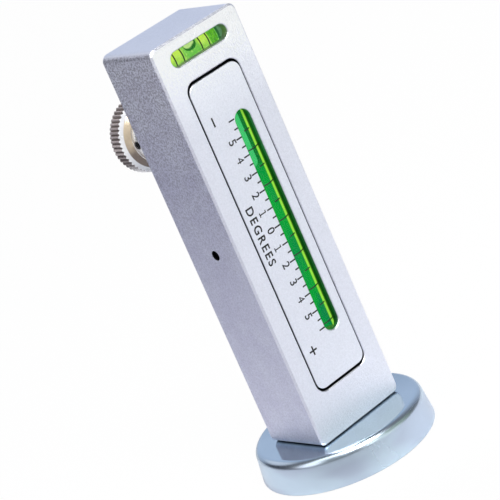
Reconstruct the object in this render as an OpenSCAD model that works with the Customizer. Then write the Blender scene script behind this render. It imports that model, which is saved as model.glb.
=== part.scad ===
// Camber gauge: an upright bar that stands on a round pot magnet. A scale block rocks in a pocket
// of the bar and holds a long level vial, a short level vial lies across the bar above it, and a
// thumbscrew through the back of the bar rocks the block to set its zero.
// The front face looks along -Y, the bar's long axis is +Z, and z = 0 is the magnet's working face.
// The axis of the bar and of the magnet is x = 0, y = 0. Every size is in millimetres.

/* [Bar] */
// Width of the bar across its front face
body_w = 25.4; // [21:0.1:31]
// Depth of the bar from front face to back face
body_d = 18.5; // [16.5:0.1:23]
// Height of the bar above the magnet
body_h = 98; // [81:0.5:120]
// Rounding of the corners as seen from the front
corner_round = 1.7; // [1:0.1:2.4]
// Chamfer round the front face and the back face
face_chamfer = 0.45; // [0.2:0.05:0.8]
// Chamfer round the mouths of the pocket and of the windows
mouth_break = 0.2; // [0.05:0.05:0.25]

/* [Pocket in the bar] */
// Wall on each side of the pocket
side_wall = 4.9; // [4.5:0.1:5.5]
// Mean of the walls above and below the pocket
end_wall = 10.6; // [10.2:0.1:12.6]
// Height of the pocket's middle above the bar's middle
pocket_rise = 0.2; // [0:0.1:0.4]
// Corner radius of the pocket
pocket_round = 2.6; // [1.5:0.1:3]
// Free depth between the scale block and the pocket floor
back_gap = 3; // [2.6:0.1:3.6]

/* [Scale block] */
// Gap between the block and the pocket on each side
block_side_gap = 0.3; // [0.25:0.05:0.5]
// Gap between the block and the pocket at each end
block_end_gap = 0.7; // [0.5:0.05:1]
// Chamfer round the block's face
block_break = 0.1; // [0.05:0.05:0.25]
// Skin of the block in front of the long vial
front_skin = 1.2; // [0.8:0.1:1.6]
// Solid metal of the block behind the long vial
back_skin = 2.9; // [2.4:0.1:3.6]
// Depth of the pivot axis behind the front face
pivot_depth = 8.3; // [8:0.05:8.6]
// Distance of the pivot axis below the middle of the pocket
pivot_drop = 0.15; // [0:0.05:2]

/* [Pivot pins] */
// Diameter of a pivot pin
pin_d = 2.4; // [2:0.1:2.6]
// Distance of the pin's outer end below the side of the bar
pin_recess = 0.8; // [0.3:0.1:1.5]
// Length of pin that stands in the scale block
pin_bite = 1.3; // [1:0.1:1.4]

/* [Long vial] */
// Outside diameter of the long vial
vial_d = 7; // [5.8:0.1:7.2]
// Distance of the vial's axis from the right side of the block
vial_edge = 4.6; // [4.4:0.1:5]
// Distance from each end of the block to the vial
vial_end = 7.8; // [6.8:0.1:9]
// Width of the window over the long vial
window_w = 4.4; // [3.5:0.1:5]
// Length of vial hidden at each end of the window
window_end = 2.5; // [2.1:0.1:4]
// Diameter of the long vial's bubble
bubble_d = 3.4; // [2.6:0.1:3.6]
// Length of the long vial's bubble
bubble_len = 14; // [6:0.5:16]

/* [Cross vial] */
// Outside diameter of the cross vial
cross_d = 8; // [6.6:0.1:8.2]
// Skin of the bar in front of the cross vial's bore
cross_skin = 2; // [1.5:0.1:3]
// Distance of the cross vial's axis below the top of the bar
cross_drop = 5.4; // [5.2:0.1:5.6]
// Metal left at the closed end of the cross vial's bore
cross_end_wall = 1.7; // [1.2:0.1:2.5]
// Distance of the window's middle below the top of the bar
cross_window_drop = 4.5; // [4.3:0.1:5.4]
// Height of the window over the cross vial
cross_window_h = 3.5; // [3:0.1:4]
// Distance of each end of the cross window from the side of the bar
cross_window_edge = 4.4; // [4:0.1:5.5]
// Length of the plug that closes the cross vial's bore
cross_plug_len = 2.8; // [2:0.1:3.5]
// Diameter of the cross vial's bubble
cross_bubble_d = 2.8; // [2.4:0.1:3.4]
// Length of the cross vial's bubble
cross_bubble_len = 3.2; // [3.1:0.1:5]
// Distance of the cross vial's bubble to the right of the vial's middle
cross_bubble_shift = 2.4; // [0:0.1:2.5]
// Height of that bubble above the vial's axis
cross_bubble_rise = 0.75; // [0:0.05:0.9]

/* [Vial making] */
// Wall of both vial tubes
tube_wall = 0.7; // [0.5:0.05:0.9]
// Length of the plug at each end of a vial
tube_plug = 2; // [1.5:0.1:2]

/* [Thumbscrew] */
// Distance of the screw's axis below the top of the pocket
screw_drop = 13.9; // [11:0.1:16]
// Outside diameter of the screw's thread
screw_d = 5; // [4:0.1:6]
// Pitch of the screw's thread
screw_pitch = 0.8; // [0.5:0.05:1]
// Depth of the screw's thread
screw_thread = 0.42; // [0.25:0.01:0.5]
// Free length of screw between the bar and the knob
knob_gap = 5.5; // [4:0.1:8]
// Diameter of the knob over its knurl
knob_d = 17.9; // [16:0.1:20]
// Width of the knurled rim
knob_rim = 4.2; // [3:0.05:5]
// Diameter of the knob's boss
boss_d = 13.2; // [10.4:0.1:14]
// Length of the straight part of the boss
boss_len = 6; // [4.5:0.05:7]
// Length of the cone between boss and rim
knob_cone = 1.25; // [1:0.05:2]
// Number of ribs round the rim
knurl_count = 54; // [36:1:72]
// Depth of the grooves between the ribs
knurl_depth = 0.4; // [0.3:0.05:0.6]
// Diameter of the grub screw that locks the knob
grub_d = 2; // [1.6:0.1:2.5]
// Diameter of the swivelling pad on the screw's tip
pad_d = 4.2; // [3.8:0.1:4.4]
// Radius of the pad's domed end
pad_dome = 3; // [2.3:0.1:6]

/* [Spring] */
// Height of the spring's axis above the bottom of the block
spring_rise = 3.9; // [3.8:0.1:4.2]
// Outside diameter of the spring
spring_d = 4.6; // [4:0.1:5]
// Diameter of the spring's wire
spring_wire = 0.7; // [0.5:0.05:0.8]
// Number of turns of the spring
spring_turns = 6; // [4:1:7]
// Depth of the spring's pocket in the block
spring_depth = 5; // [4:0.1:6]

/* [Magnet] */
// Largest diameter of the magnet's steel cup
magnet_d = 42.3; // [40:0.1:46]
// Height of the cup
magnet_h = 8; // [7.5:0.1:10]
// Rounding of the cup's upper rim
cup_round = 2; // [1:0.1:2.2]
// Lean of the cup's side, in degrees
cup_draft = 6.6; // [0:0.1:8]
// Thickness of the cup's wall at its mouth
cup_wall = 1.85; // [1.6:0.05:2.5]
// Thickness of the cup's floor
cup_floor = 3; // [2.6:0.1:3.2]
// Width of the resin between magnet ring and cup
resin_w = 1.2; // [0.6:0.1:2]
// Radius of the hole through the magnet ring
ring_hole_r = 5.2; // [5.1:0.1:6]
// Diameter of the screw that holds the magnet
base_screw_d = 5; // [4:0.1:5]
// Length of that screw inside the bar
base_screw_len = 8.3; // [6:0.1:9]

/* [Clearances] */
// Radial clearance of a running fit
run_fit = 0.05; // [0.02:0.01:0.09]
// Radial clearance of a piece that is pressed or glued in
set_fit = 0.02; // [0.01:0.01:0.05]
// Gap between the ends of pieces that follow one another
end_gap = 0.3; // [0.2:0.05:0.4]

/* [Hidden] */
$fn = 96;

// Small amounts used in many places: an overlap that joins two solids, the length by which a cutter
// runs past the face it cuts, the bevel on pins and on plugs, and the gap that keeps two pieces apart
eps = 0.01;
past = 1;
pin_bevel = 0.2;
plug_bevel = 0.3;
part_gap = 0.1;

// Levels of the bar and of its pocket
front_y = -body_d / 2;
back_y = body_d / 2;
top_z = magnet_h + body_h;
mid_z = magnet_h + body_h / 2;
pocket_w = body_w - 2 * side_wall;
pocket_h = body_h - 2 * end_wall;
pocket_z = mid_z + pocket_rise;

// The scale block and the bore for its vial
block_w = pocket_w - 2 * block_side_gap;
block_h = pocket_h - 2 * block_end_gap;
block_round = pocket_round - block_side_gap;
vial_bore_r = vial_d / 2 + run_fit;
block_d = front_skin + 2 * vial_bore_r + back_skin;
block_back_y = front_y + block_d;
block_top_z = pocket_z + block_h / 2;
block_bottom_z = pocket_z - block_h / 2;
floor_y = block_back_y + back_gap;
pivot_y = front_y + pivot_depth;
pivot_z = pocket_z - pivot_drop;
pin_len = side_wall - pin_recess + block_side_gap + pin_bite;

// The long vial
vial_x = block_w / 2 - vial_edge;
vial_y = front_y + front_skin + vial_bore_r;
vial_len = block_h - 2 * vial_end;
window_h = vial_len - 2 * window_end;
liquid_r = vial_d / 2 - tube_wall - set_fit;
bubble_r = min(bubble_d / 2, liquid_r - 2 * end_gap);
bubble_channel = bubble_r + end_gap;
bubble_y = vial_y - (vial_d / 2 - tube_wall - bubble_channel - end_gap);
channel_skin = 0.5;
liquid_half = vial_len / 2 - tube_plug - set_fit;
plug_z = pocket_z + vial_len / 2 + end_gap;
pin_bore_gap = 0.2;
bubble_rest_z = pocket_z + liquid_half - channel_skin - end_gap - bubble_len / 2;

// The cross vial, whose bore is closed at the left and plugged at the right
cross_bore_r = cross_d / 2 + run_fit;
cross_y = front_y + cross_skin + cross_bore_r;
cross_z = top_z - cross_drop;
cross_bore_x = -body_w / 2 + cross_end_wall;
cross_plug_x = body_w / 2 - end_gap - cross_plug_len;
cross_len = cross_plug_x - cross_bore_x - 2 * end_gap;
cross_mid_x = (cross_plug_x + cross_bore_x) / 2;
cross_window_w = body_w - 2 * cross_window_edge;
cross_liquid_half = cross_len / 2 - tube_plug + set_fit;
cross_liquid_r = cross_d / 2 - tube_wall - set_fit;
cross_bubble_r = min(cross_bubble_d / 2, cross_liquid_r - 2 * end_gap);
cross_channel = cross_bubble_r + end_gap;
cross_bubble_z = cross_z + cross_bubble_rise;
cross_bubble_size = max(cross_bubble_len, 2 * cross_bubble_r + end_gap);

// The thumbscrew
screw_z = pocket_z + pocket_h / 2 - screw_drop;
pad_tip_y = block_back_y + end_gap;
pad_len = 2.25;
pad_web = 0.65;
spigot_r = 1.2;
spigot_y = pad_tip_y + pad_web + part_gap;
shoulder_y = pad_tip_y + pad_len + part_gap;
shoulder_len = 0.3;
shoulder_r = screw_d / 2 - screw_thread - 0.05;
thread_y = shoulder_y + shoulder_len;
boss_y = back_y + knob_gap;
cone_y = boss_y + boss_len;
rim_y = cone_y + knob_cone;
knob_back_y = rim_y + knob_rim;
knob_len = knob_back_y - boss_y;
knob_edge = 0.25;
knob_web = 1;
dish_r = 5;
dish_depth = 0.4;
rim_groove_r = knob_d / 2 - knurl_depth;
knurl_tip = 0.08;
knob_ring = 1.05;
knob_ring_len = 0.6;
cone_r = knob_d / 2 - knob_ring;
grub_setback = 0.25;
grub_sink = 0.5;
grub_y = cone_y - grub_d / 2 - grub_setback;
grub_len = boss_d / 2 - screw_d / 2 - part_gap - grub_sink;

// The spring behind the block's lower end
spring_z = block_bottom_z + spring_rise;
spring_front_y = block_back_y - spring_depth;
spring_seat = 0.6;
spring_room = 0.35;
spring_bore_r = spring_d / 2 + spring_room;

// The magnet and the screw that holds it
cup_out_r = magnet_d / 2;
cup_in_r = cup_out_r - cup_wall;
cup_ceiling = magnet_h - cup_floor;
cup_lip = 0.4;
ring_recess = 0.3;
head_r = base_screw_d / 2 + 2.2;
head_h = 2.4;
shank_room = 0.25;
neck_len = 0.2;
tap_relief = 0.5;

// Points along an arc of radius r from angle a to angle b
function arc(r, a, b, steps = 8, centre = [0, 0]) =
    [for (i = [0:steps]) let(t = a + (b - a) * i / steps) centre + r * [cos(t), sin(t)]];

// Flat rounded rectangle, w by h, made of true arcs
module rounded_rect(w, h, r) {
    square([w - 2 * r, h], center = true);
    square([w, h - 2 * r], center = true);
    for (x = [-1, 1], y = [-1, 1])
        translate([x * (w / 2 - r), y * (h / 2 - r)])
            circle(r);
}

// Flat slot with round ends, w by h, the longer one being its length
module slot(w, h) {
    r = min(w, h) / 2;
    square([max(w - 2 * r, 2 * r), max(h - 2 * r, 2 * r)], center = true);
    for (side = [-1, 1])
        translate(side * [w / 2 - r, h / 2 - r])
            circle(r);
}

// Block with round corners whose sides lean out by 45 degrees: w by h at z = 0, up to z = len
module taper_rect(w, h, r, len) {
    for (side = [[w, h, 0], [h, w, 90]])
        if (side[1] - 2 * r > eps)
            rotate([90, 0, side[2]])
                translate([0, 0, r - side[1] / 2])
                    linear_extrude(side[1] - 2 * r)
                        polygon([
                            [-side[0] / 2, 0], [side[0] / 2, 0],
                            [side[0] / 2 + len, len], [-side[0] / 2 - len, len]
                        ]);
    for (x = [-1, 1], y = [-1, 1])
        translate([x * (w / 2 - r), y * (h / 2 - r), 0])
            cylinder(r1 = r, r2 = r + len, h = len);
}

// Cutter that chamfers the mouth of a w by h hole in the front face
module mouth_chamfer(w, h, r) {
    inset = 0.1;
    translate([0, front_y + mouth_break + inset, 0])
        rotate([90, 0, 0])
            taper_rect(w - 2 * inset, h - 2 * inset, r - inset, mouth_break + inset + past);
}

// What a w by h bar with its face at y is cut to, so that this face gets a chamfer of c all round.
// The bar lies beyond the face toward +Y for side = 1 and toward -Y for side = -1
module chamfered_face(w, h, r, c, y, depth, side) {
    translate([0, y, 0])
        rotate([-90 * side, 0, 0])
            taper_rect(w - 2 * c, h - 2 * c, r - c, depth + past);
}

// Stands a flat shape drawn in X and Z up, and gives it depth from y to y + depth
module front_prism(y, depth) {
    translate([0, y + depth, 0])
        rotate([90, 0, 0])
            linear_extrude(depth)
                children();
}

// Turns what is built along +Z from the origin to run along +X from x
module along_x(x, y, z) {
    translate([x, y, z])
        rotate([0, 90, 0])
            children();
}

// Turns what is built along +Z from the origin to run along +Y from y
module along_y(y, z) {
    translate([0, y, z])
        rotate([-90, 0, 0])
            children();
}

// Round-ended rod centred on the origin and lying along Z
module capsule(r, len) {
    rotate_extrude()
        polygon(concat(
            arc(r, -90, 0, 8, [0, -len / 2 + r]),
            arc(r, 0, 90, 8, [0, len / 2 - r])
        ));
}

// Rod with both ends chamfered, from z = 0 up
module pin(r, len, chamfer) {
    rotate_extrude()
        polygon([
            [0, 0], [r - chamfer, 0], [r, chamfer],
            [r, len - chamfer], [r - chamfer, len], [0, len]
        ]);
}

// Tube from z = 0 up
module tube(outer_r, inner_r, len) {
    difference() {
        cylinder(r = outer_r, h = len);
        translate([0, 0, -past])
            cylinder(r = inner_r, h = len + 2 * past);
    }
}

// Thread as a stack of V rings from z = 0 up, with crests of radius r
module thread_rings(r, depth, pitch, len) {
    turns = floor(len / pitch);
    rotate_extrude()
        polygon(concat(
            [[0, 0]],
            [for (i = [0:turns - 1]) each [
                [r - depth, i * pitch],
                [r, (i + 0.4) * pitch],
                [r, (i + 0.6) * pitch]
            ]],
            [[r - depth, turns * pitch], [r - depth, len], [0, len]]
        ));
}

// The bar: round corners as seen from the front, with chamfered front and back faces
module bar_blank() {
    translate([0, 0, mid_z])
        intersection() {
            front_prism(front_y, body_d)
                rounded_rect(body_w, body_h, corner_round);
            chamfered_face(body_w, body_h, corner_round, face_chamfer, front_y, body_d, 1);
            chamfered_face(body_w, body_h, corner_round, face_chamfer, back_y, body_d, -1);
        }
}

module housing() {
    color([0.82, 0.83, 0.88])
        difference() {
            bar_blank();
            // Pocket for the scale block
            translate([0, 0, pocket_z]) {
                front_prism(front_y - past, floor_y - front_y + past)
                    rounded_rect(pocket_w, pocket_h, pocket_round);
                mouth_chamfer(pocket_w, pocket_h, pocket_round);
            }
            // Holes for the pivot pins, one through each side wall
            for (x = [-body_w / 2 - past, pocket_w / 2 - past])
                along_x(x, pivot_y, pivot_z)
                    cylinder(r = pin_d / 2 + set_fit, h = side_wall + 2 * past);
            // Hole for the thumbscrew through the back wall
            along_y(floor_y - past, screw_z)
                cylinder(r = screw_d / 2 + run_fit, h = back_y - floor_y + 2 * past);
            // Shallow seat for the spring in the pocket floor
            along_y(floor_y - past, spring_z)
                cylinder(r = spring_bore_r, h = spring_seat + past);
            // Bore for the cross vial and the window over it
            along_x(cross_bore_x, cross_y, cross_z)
                cylinder(r = cross_bore_r, h = body_w);
            translate([0, 0, top_z - cross_window_drop]) {
                front_prism(front_y - past, cross_y - front_y + past)
                    slot(cross_window_w, cross_window_h);
                mouth_chamfer(cross_window_w, cross_window_h, cross_window_h / 2);
            }
            // Tapped hole for the screw that holds the magnet
            translate([0, 0, magnet_h - past])
                cylinder(r = base_screw_d / 2 + run_fit, h = base_screw_len + tap_relief + past);
        }
}

// The block before its bores, with its face chamfered all round
module block_blank() {
    translate([0, 0, pocket_z])
        intersection() {
            front_prism(front_y, block_d)
                rounded_rect(block_w, block_h, block_round);
            chamfered_face(block_w, block_h, block_round, block_break, front_y, block_d, 1);
        }
}

module scale_block() {
    color([0.86, 0.87, 0.92])
        difference() {
            block_blank();
            // Bore for the long vial, open at the top end of the block, and the window over it
            translate([vial_x, vial_y, pocket_z - vial_len / 2])
                cylinder(r = vial_bore_r, h = block_h);
            translate([vial_x, 0, pocket_z]) {
                front_prism(front_y - past, vial_y - front_y + past)
                    slot(window_w, window_h);
                mouth_chamfer(window_w, window_h, window_w / 2);
            }
            // Blind bores that turn on the pivot pins
            for (side = [-1, 1])
                along_x(side * (block_w / 2 + past), pivot_y, pivot_z)
                    mirror([0, 0, side > 0 ? 1 : 0])
                        cylinder(r = pin_d / 2 + run_fit, h = pin_bite + pin_bore_gap + past);
            // Blind hole that holds the spring
            along_y(spring_front_y, spring_z)
                cylinder(r = spring_bore_r, h = spring_depth + past);
        }
}

module scale_block_plug() {
    color([0.75, 0.76, 0.8])
        translate([vial_x, vial_y, plug_z])
            pin(vial_bore_r - set_fit, block_top_z - plug_z - end_gap, plug_bevel);
}

module long_vial_tube() {
    color([0.8, 0.95, 0.85, 0.4])
        translate([vial_x, vial_y, pocket_z - vial_len / 2])
            tube(vial_d / 2, vial_d / 2 - tube_wall, vial_len);
}

module long_vial_liquid() {
    color([0.1, 0.75, 0.3, 0.6])
        difference() {
            translate([vial_x, vial_y, pocket_z - liquid_half])
                cylinder(r = liquid_r, h = 2 * liquid_half);
            translate([vial_x, bubble_y, pocket_z - liquid_half + channel_skin])
                cylinder(r = bubble_channel, h = 2 * (liquid_half - channel_skin));
        }
}

module long_vial_plugs() {
    color([0.2, 0.55, 0.3])
        for (z = [pocket_z - vial_len / 2, pocket_z + vial_len / 2 - tube_plug])
            translate([vial_x, vial_y, z])
                pin(liquid_r, tube_plug, pin_bevel);
}

module long_vial_bubble() {
    color([0.8, 1, 0.85, 0.5])
        translate([vial_x, bubble_y, bubble_rest_z])
            capsule(bubble_r, bubble_len);
}

module cross_vial_tube() {
    color([0.85, 0.95, 0.8, 0.4])
        along_x(cross_mid_x - cross_len / 2, cross_y, cross_z)
            tube(cross_d / 2, cross_d / 2 - tube_wall, cross_len);
}

module cross_vial_liquid() {
    color([0.7, 0.9, 0.2, 0.6])
        difference() {
            along_x(cross_mid_x - cross_liquid_half, cross_y, cross_z)
                cylinder(r = cross_liquid_r, h = 2 * cross_liquid_half);
            along_x(cross_mid_x - cross_liquid_half + channel_skin, cross_y, cross_bubble_z)
                cylinder(r = cross_channel, h = 2 * (cross_liquid_half - channel_skin));
        }
}

module cross_vial_plugs() {
    plug = tube_plug - 2 * set_fit;
    color([0.35, 0.6, 0.25])
        for (x = [cross_mid_x - cross_len / 2, cross_mid_x + cross_len / 2 - plug])
            along_x(x, cross_y, cross_z)
                pin(cross_liquid_r, plug, pin_bevel);
}

module cross_vial_bubble() {
    color([0.9, 1, 0.8, 0.5])
        along_x(cross_mid_x + cross_bubble_shift, cross_y, cross_bubble_z)
            capsule(cross_bubble_r, cross_bubble_size);
}

module cross_bore_plug() {
    color([0.75, 0.76, 0.8])
        along_x(cross_plug_x, cross_y, cross_z)
            pin(cross_bore_r - set_fit, cross_plug_len, plug_bevel);
}

module pivot_pins() {
    color([0.35, 0.35, 0.38])
        for (x = [-body_w / 2 + pin_recess, body_w / 2 - pin_recess - pin_len])
            along_x(x, pivot_y, pivot_z)
                pin(pin_d / 2, pin_len, pin_bevel);
}

// One unbroken wire: rings of points carried along a helix about Z, closed at both ends
module coil(mean_r, wire_r, len, turns, per_turn = 16, sides = 8) {
    rings = turns * per_turn;
    rise = (len - 2 * wire_r) / rings;
    points = [
        for (i = [0:rings], k = [0:sides - 1])
            let(a = 360 * i / per_turn, b = 360 * k / sides, r = mean_r + wire_r * cos(b))
            [r * cos(a), r * sin(a), wire_r + i * rise + wire_r * sin(b)]
    ];
    walls = [
        for (i = [0:rings - 1], k = [0:sides - 1])
            let(a = i * sides + k, b = i * sides + (k + 1) % sides)
            each [[a, b, b + sides], [a, b + sides, a + sides]]
    ];
    caps = [
        for (k = [1:sides - 2])
            each [[0, k + 1, k], [rings * sides, rings * sides + k, rings * sides + k + 1]]
    ];
    echo(least_gap_between_turns = rise * per_turn - 2 * wire_r);
    polyhedron(points, concat(walls, caps), convexity = 6);
}

module block_spring() {
    length = floor_y + spring_seat - spring_front_y - 2 * part_gap;
    color([0.55, 0.55, 0.58])
        along_y(spring_front_y + part_gap, spring_z)
            coil((spring_d - spring_wire) / 2, spring_wire / 2, length, spring_turns);
}

// Profile of the knob without its knurl, from the boss's end at 0 to its back
module knob_profile() {
    polygon([
        [0, 0],
        [boss_d / 2 - knob_edge, 0],
        [boss_d / 2, knob_edge],
        [boss_d / 2, boss_len],
        [cone_r, boss_len + knob_cone],
        [knob_d / 2, boss_len + knob_cone + knob_ring_len],
        [knob_d / 2, knob_len - knob_edge],
        [knob_d / 2 - knob_edge, knob_len],
        [0, knob_len]
    ]);
}

// Star with one point for each rib. The points reach past the rim, so that each rib ends in a flat
module knurl_star() {
    polygon([
        for (i = [0:2 * knurl_count - 1])
            let(a = 180 * i / knurl_count, r = i % 2 == 0 ? knob_d / 2 + knurl_tip : rim_groove_r)
            r * [cos(a), sin(a)]
    ]);
}

module thumb_knob() {
    color([0.78, 0.75, 0.7])
        difference() {
            along_y(boss_y, screw_z)
                intersection() {
                    rotate_extrude()
                        knob_profile();
                    translate([0, 0, -past])
                        linear_extrude(knob_len + 2 * past)
                            knurl_star();
                }
            along_y(boss_y - past, screw_z)
                cylinder(r = screw_d / 2 + set_fit, h = knob_len - knob_web + past);
            // Shallow turned dish in the back face
            along_y(knob_back_y - dish_depth, screw_z)
                cylinder(r = dish_r, h = dish_depth + past);
            // Tapped hole for the grub screw, from the left side to the screw
            along_x(-boss_d, grub_y, screw_z)
                cylinder(r = grub_d / 2 + set_fit, h = boss_d);
        }
}

module screw_stud() {
    color([0.12, 0.12, 0.13]) {
        along_y(spigot_y, screw_z)
            cylinder(r = spigot_r, h = thread_y - spigot_y + past);
        along_y(shoulder_y, screw_z)
            cylinder(r = shoulder_r, h = shoulder_len + past);
        along_y(thread_y, screw_z)
            thread_rings(screw_d / 2, screw_thread, screw_pitch, boss_y - thread_y);
        // The plain end that the knob holds
        along_y(boss_y - eps, screw_z)
            cylinder(r = screw_d / 2, h = knob_len - knob_web - part_gap + eps);
    }
}

module knob_grub_screw() {
    socket_r = grub_d * 0.3;
    color([0.1, 0.1, 0.1])
        along_x(-screw_d / 2 - part_gap, grub_y, screw_z)
            mirror([0, 0, 1])
                difference() {
                    pin(grub_d / 2, grub_len, pin_bevel);
                    translate([0, 0, grub_len / 2])
                        cylinder(r = socket_r, h = grub_len, $fn = 6);
                }
}

module thrust_pad() {
    rise = pad_dome - sqrt(pow(pad_dome, 2) - pow(pad_d / 2, 2));
    edge_angle = asin(pad_d / 2 / pad_dome);
    color([0.8, 0.65, 0.3])
        along_y(pad_tip_y, screw_z)
            difference() {
                rotate_extrude()
                    polygon(concat(
                        arc(pad_dome, -90, -90 + edge_angle, 6, [0, pad_dome]),
                        [[pad_d / 2, rise], [pad_d / 2, pad_len], [0, pad_len]]
                    ));
                translate([0, 0, pad_web])
                    cylinder(r = spigot_r + run_fit, h = pad_len);
            }
}

// Half section of the cup's outside: flat top, rounded rim, leaning side and a small lower edge
module cup_outline() {
    low = [cup_out_r - cup_lip, cup_lip];
    high_z = magnet_h - cup_round;
    // The leaning side touches both roundings
    lean = (high_z - cup_lip) * sin(cup_draft) + cup_round - cup_lip;
    high = [low[0] - lean / cos(cup_draft), high_z];
    polygon(concat(
        [[0, 0]],
        arc(cup_lip, -90, cup_draft, 4, low),
        arc(cup_round, cup_draft, 90, 10, high),
        [[0, magnet_h]]
    ));
}

module magnet_cup() {
    color([0.72, 0.78, 0.84])
        difference() {
            rotate_extrude()
                cup_outline();
            translate([0, 0, -past])
                cylinder(r = cup_in_r, h = cup_ceiling + past);
            // Countersunk hole for the screw
            translate([0, 0, cup_ceiling - eps])
                cylinder(r1 = head_r + part_gap, r2 = base_screw_d / 2 + shank_room, h = head_h + eps);
            translate([0, 0, cup_ceiling])
                cylinder(r = base_screw_d / 2 + shank_room, h = magnet_h);
        }
}

module magnet_ring() {
    color([0.2, 0.2, 0.22])
        translate([0, 0, ring_recess])
            tube(cup_in_r - resin_w, ring_hole_r, cup_ceiling - ring_recess);
}

module magnet_resin() {
    color([0.75, 0.75, 0.7])
        translate([0, 0, ring_recess + part_gap])
            tube(
                cup_in_r - set_fit,
                cup_in_r - resin_w + set_fit,
                cup_ceiling - ring_recess - part_gap
            );
}

module base_screw() {
    shank_z = cup_ceiling + head_h;
    thread_z = magnet_h + neck_len;
    socket_r = base_screw_d * 0.34;
    socket_depth = 1.9;
    color([0.7, 0.72, 0.75])
        difference() {
            union() {
                translate([0, 0, cup_ceiling + part_gap])
                    cylinder(r1 = head_r, r2 = base_screw_d / 2, h = head_h);
                translate([0, 0, shank_z])
                    cylinder(r = base_screw_d / 2, h = thread_z - shank_z);
                translate([0, 0, thread_z - eps])
                    thread_rings(
                        base_screw_d / 2, screw_thread, screw_pitch, base_screw_len - neck_len
                    );
            }
            translate([0, 0, cup_ceiling + part_gap - past])
                cylinder(r = socket_r, h = socket_depth + past, $fn = 6);
        }
}

housing();
scale_block();
scale_block_plug();
long_vial_tube();
long_vial_liquid();
long_vial_plugs();
long_vial_bubble();
cross_vial_tube();
cross_vial_liquid();
cross_vial_plugs();
cross_vial_bubble();
cross_bore_plug();
pivot_pins();
block_spring();
thumb_knob();
screw_stud();
knob_grub_screw();
thrust_pad();
magnet_cup();
magnet_ring();
magnet_resin();
base_screw();
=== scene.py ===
"""Looks of the gauge: finishes, printed scale, vials and the studio around it.

Lengths are in metres in the CAD frame: the front face looks along -Y, the bar stands along +Z.
MM turns the millimetres that sizes are written in into metres. A share runs from 0 to 1.
"""

import math

import bmesh
import bpy
from mathutils import Matrix, Vector


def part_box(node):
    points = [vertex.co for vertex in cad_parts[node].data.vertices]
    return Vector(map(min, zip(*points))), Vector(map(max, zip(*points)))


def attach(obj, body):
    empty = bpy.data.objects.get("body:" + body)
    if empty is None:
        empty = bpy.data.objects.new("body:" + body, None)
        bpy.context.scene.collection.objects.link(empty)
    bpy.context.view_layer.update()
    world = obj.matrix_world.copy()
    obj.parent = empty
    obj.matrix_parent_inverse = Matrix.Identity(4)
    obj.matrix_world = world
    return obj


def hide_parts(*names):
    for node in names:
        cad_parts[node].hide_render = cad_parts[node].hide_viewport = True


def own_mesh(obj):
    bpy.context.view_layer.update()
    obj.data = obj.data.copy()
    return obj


MM = 0.001
WELD = 0.001 * MM

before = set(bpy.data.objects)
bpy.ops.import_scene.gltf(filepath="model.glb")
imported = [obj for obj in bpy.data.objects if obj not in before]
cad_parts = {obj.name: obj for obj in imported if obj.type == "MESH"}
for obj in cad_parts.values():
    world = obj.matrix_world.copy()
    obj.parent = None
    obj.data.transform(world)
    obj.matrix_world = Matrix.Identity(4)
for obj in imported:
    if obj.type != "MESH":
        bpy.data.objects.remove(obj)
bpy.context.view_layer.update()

# ---------------------------------------------------------------- places taken from the frame

BAR_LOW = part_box("housing")[0]
BLOCK_LOW, BLOCK_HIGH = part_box("scale_block")
TUBE_LOW, TUBE_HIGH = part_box("long_vial_tube")
LIQUID_LOW, LIQUID_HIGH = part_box("long_vial_liquid")
BUBBLE_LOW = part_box("long_vial_bubble")[0]
CROSS_LOW, CROSS_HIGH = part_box("cross_vial_tube")
CROSS_LIQUID_LOW, CROSS_LIQUID_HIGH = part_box("cross_vial_liquid")
CROSS_BUBBLE_LOW, CROSS_BUBBLE_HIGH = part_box("cross_vial_bubble")
KNOB_LOW, KNOB_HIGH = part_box("thumb_knob")
PIN_LOW, PIN_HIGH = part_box("pivot_pins")
CUP_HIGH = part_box("magnet_cup")[1]
MAGNET_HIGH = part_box("magnet_ring")[1]

FACE_Y = BLOCK_LOW.y
SIDE_GAP = 0.3 * MM
END_GAP = 0.7 * MM
HALF_BLOCK_WIDTH = (BLOCK_HIGH.x - BLOCK_LOW.x) / 2
HALF_BLOCK_HEIGHT = (BLOCK_HIGH.z - BLOCK_LOW.z) / 2
SCALE_MID_Z = (BLOCK_LOW.z + BLOCK_HIGH.z) / 2
VIAL_X = (TUBE_LOW.x + TUBE_HIGH.x) / 2
VIAL_Y = (TUBE_LOW.y + TUBE_HIGH.y) / 2
VIAL_R = (TUBE_HIGH.x - TUBE_LOW.x) / 2
CROSS_Y = (CROSS_LOW.y + CROSS_HIGH.y) / 2
CROSS_Z = (CROSS_LOW.z + CROSS_HIGH.z) / 2
CROSS_R = (CROSS_HIGH.z - CROSS_LOW.z) / 2
PIVOT_Y = (PIN_LOW.y + PIN_HIGH.y) / 2
PIVOT_Z = (PIN_LOW.z + PIN_HIGH.z) / 2
SCREW_Z = (KNOB_LOW.z + KNOB_HIGH.z) / 2
KNOB_R = (KNOB_HIGH.x - KNOB_LOW.x) / 2
# Where the cone, the ring and the knurl begin on the knob
CONE_Y = KNOB_HIGH.y - 5.45 * MM
RING_Y = KNOB_HIGH.y - 4.2 * MM
RIBS_Y = KNOB_HIGH.y - 3.6 * MM

# ---------------------------------------------------------------- printed scale and vial rings

INK_UP = 0.012 * MM
INK_DOWN = 0.03 * MM
LETTER_STEPS = 6
DEGREE = 4.333 * MM
ZERO_Z = SCALE_MID_Z + 0.36 * MM
SCALE_TOP = 6
TICK_INNER_X = 0.62 * MM
LONG_TICK = 1.67 * MM
SHORT_TICK = 1.12 * MM
TICK_WIDTH = 0.34 * MM
DIGIT_X = -2.35 * MM
DIGIT_SIZE = 2.85 * MM
DIGIT_BOLD = 0.035 * MM
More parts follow.
